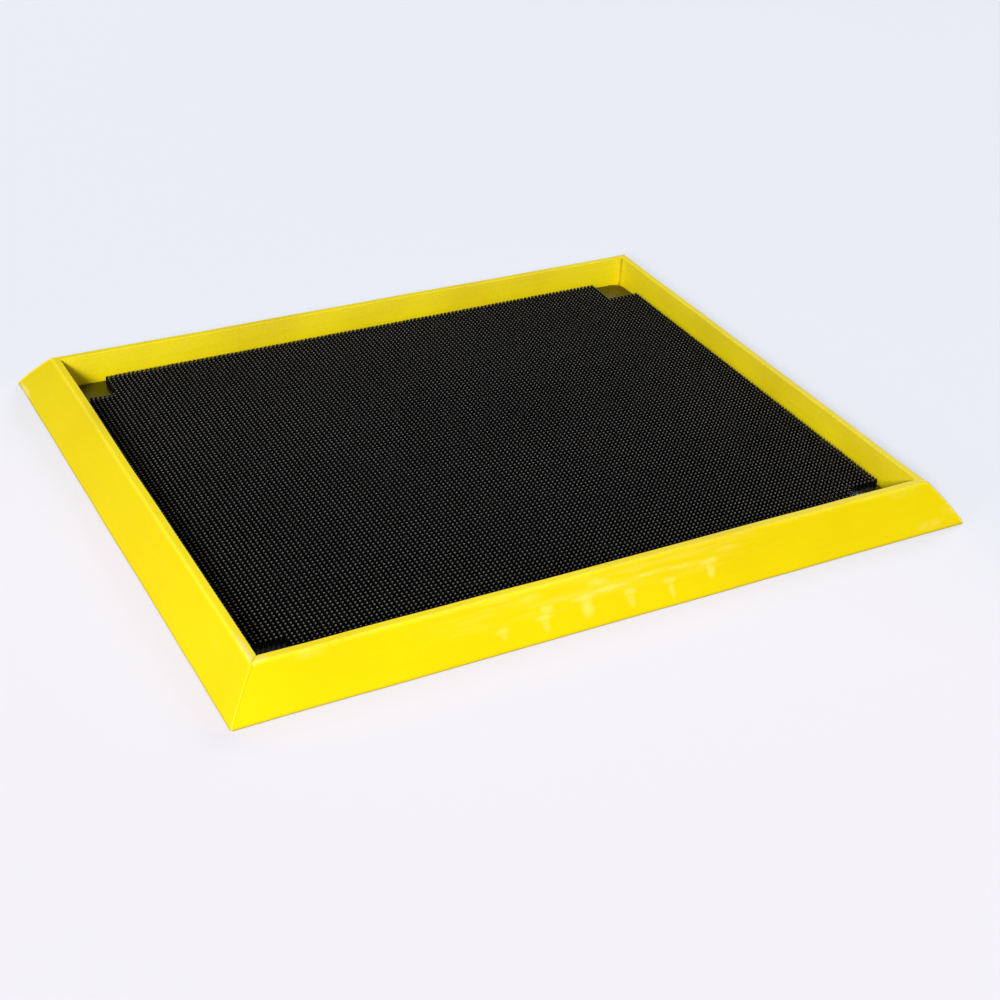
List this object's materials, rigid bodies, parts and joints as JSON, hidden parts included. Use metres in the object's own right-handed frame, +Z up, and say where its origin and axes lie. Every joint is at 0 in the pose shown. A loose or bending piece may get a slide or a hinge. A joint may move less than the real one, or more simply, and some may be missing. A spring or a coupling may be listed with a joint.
{
  "type": "spill containment tray",
  "caption": "Low rectangular containment tray with mitred ramp rails all round a sealed floor sheet, holding a lift-out rubber finger scraper mat.",
  "frame": {"origin": "centre of the tray's footprint, on the floor", "axes": "+X along the front rail (the long side), +Y towards the rear rail, +Z up"},
  "size_m": [0.9906, 0.8128, 0.0508],
  "materials": {
    "rail_pvc": "satin, flexible extruded PVC in safety yellow",
    "weld_pvc": "glossy hot-air weld bead, a little lighter than the rails",
    "seal_pvc": "glossy sealing fillet",
    "sheet_pvc": "calendered PVC sheet with a fine grain",
    "mat_rubber": "moulded black rubber, satin on the fingers and smoother on the plain corners"
  },
  "bodies": {
    "tray": {"border_front": "rail_pvc", "border_right": "rail_pvc", "border_rear": "rail_pvc", "border_left": "rail_pvc", "mitre_weld_front_left": "weld_pvc", "mitre_weld_front_right": "weld_pvc", "mitre_weld_rear_right": "weld_pvc", "mitre_weld_rear_left": "weld_pvc", "floor_sheet": "sheet_pvc", "floor_seal_front": "seal_pvc", "floor_seal_right": "seal_pvc", "floor_seal_rear": "seal_pvc", "floor_seal_left": "seal_pvc", "corner_seal_front_left": "seal_pvc", "corner_seal_front_right": "seal_pvc", "corner_seal_rear_right": "seal_pvc", "corner_seal_rear_left": "seal_pvc"},
    "mat": {"scraper_mat": "mat_rubber"}
  },
  "joints": [
    {"name": "mat_lift", "type": "slide", "parent": "tray", "child": "mat", "axis": [0, 0, 1], "range_m": [0, 0.08]}
  ]
}
